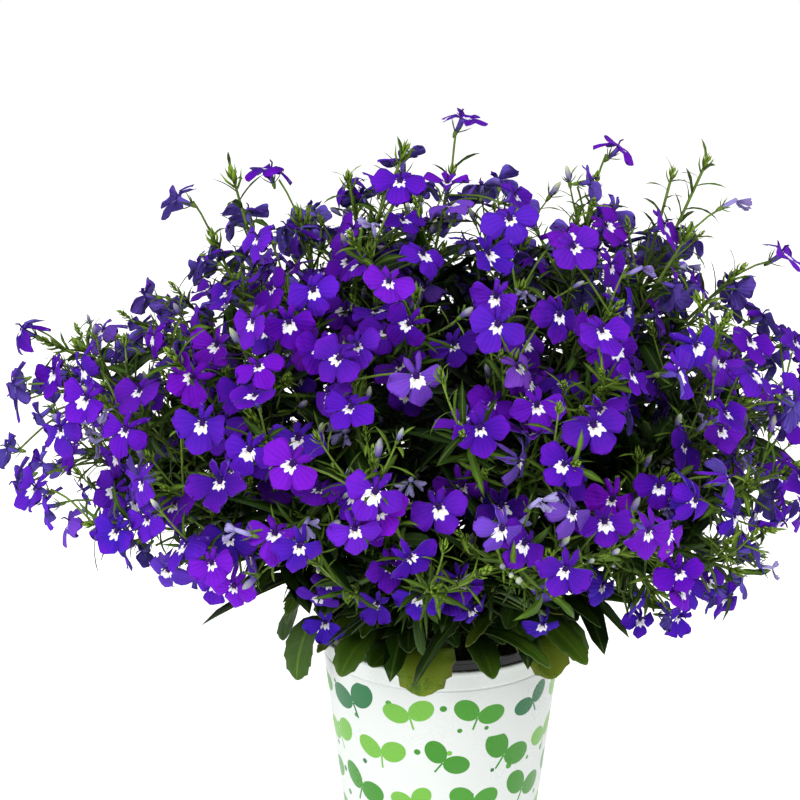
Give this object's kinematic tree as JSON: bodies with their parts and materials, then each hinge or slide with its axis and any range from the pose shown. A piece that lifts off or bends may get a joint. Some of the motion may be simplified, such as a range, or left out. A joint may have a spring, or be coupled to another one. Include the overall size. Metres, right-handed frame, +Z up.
{
  "type": "potted trailing lobelia",
  "caption": "Trailing lobelia in full flower, a loose mound of violet-blue blooms on thin leafy stems, in a black nursery pot inside a white outer pot.",
  "frame": {"origin": "Middle of the outer pot's flat foot, which stands on the table.", "axes": "+Z points up along the pot's axis. -Y points to the front of the plant, the side the picture shows. +X points to the right as seen from the front."},
  "size_m": [0.3637, 0.318, 0.3291],
  "materials": {
    "white_plastic": "white moulded plastic with a soft gloss, printed with plain green motifs",
    "black_plastic": "black thin moulded plastic, satin",
    "soil": "dark crumbly potting compost",
    "foliage": "living green stems and leaves with velvety violet-blue petals, white eyes"
  },
  "bodies": {
    "root": {"outer_pot": "white_plastic", "inner_pot": "black_plastic", "potting_soil": "soil", "stem_01": "foliage", "stem_02": "foliage", "stem_03": "foliage", "stem_04": "foliage", "stem_05": "foliage", "stem_06": "foliage", "stem_07": "foliage", "stem_08": "foliage", "stem_09": "foliage", "stem_10": "foliage", "stem_11": "foliage", "stem_12": "foliage", "stem_13": "foliage", "stem_14": "foliage", "stem_15": "foliage", "stem_16": "foliage", "stem_17": "foliage", "stem_18": "foliage", "stem_19": "foliage", "stem_20": "foliage", "stem_21": "foliage", "stem_22": "foliage", "stem_23": "foliage", "stem_24": "foliage", "stem_25": "foliage", "stem_26": "foliage", "stem_27": "foliage", "stem_28": "foliage", "stem_29": "foliage"}
  },
  "joints": []
}
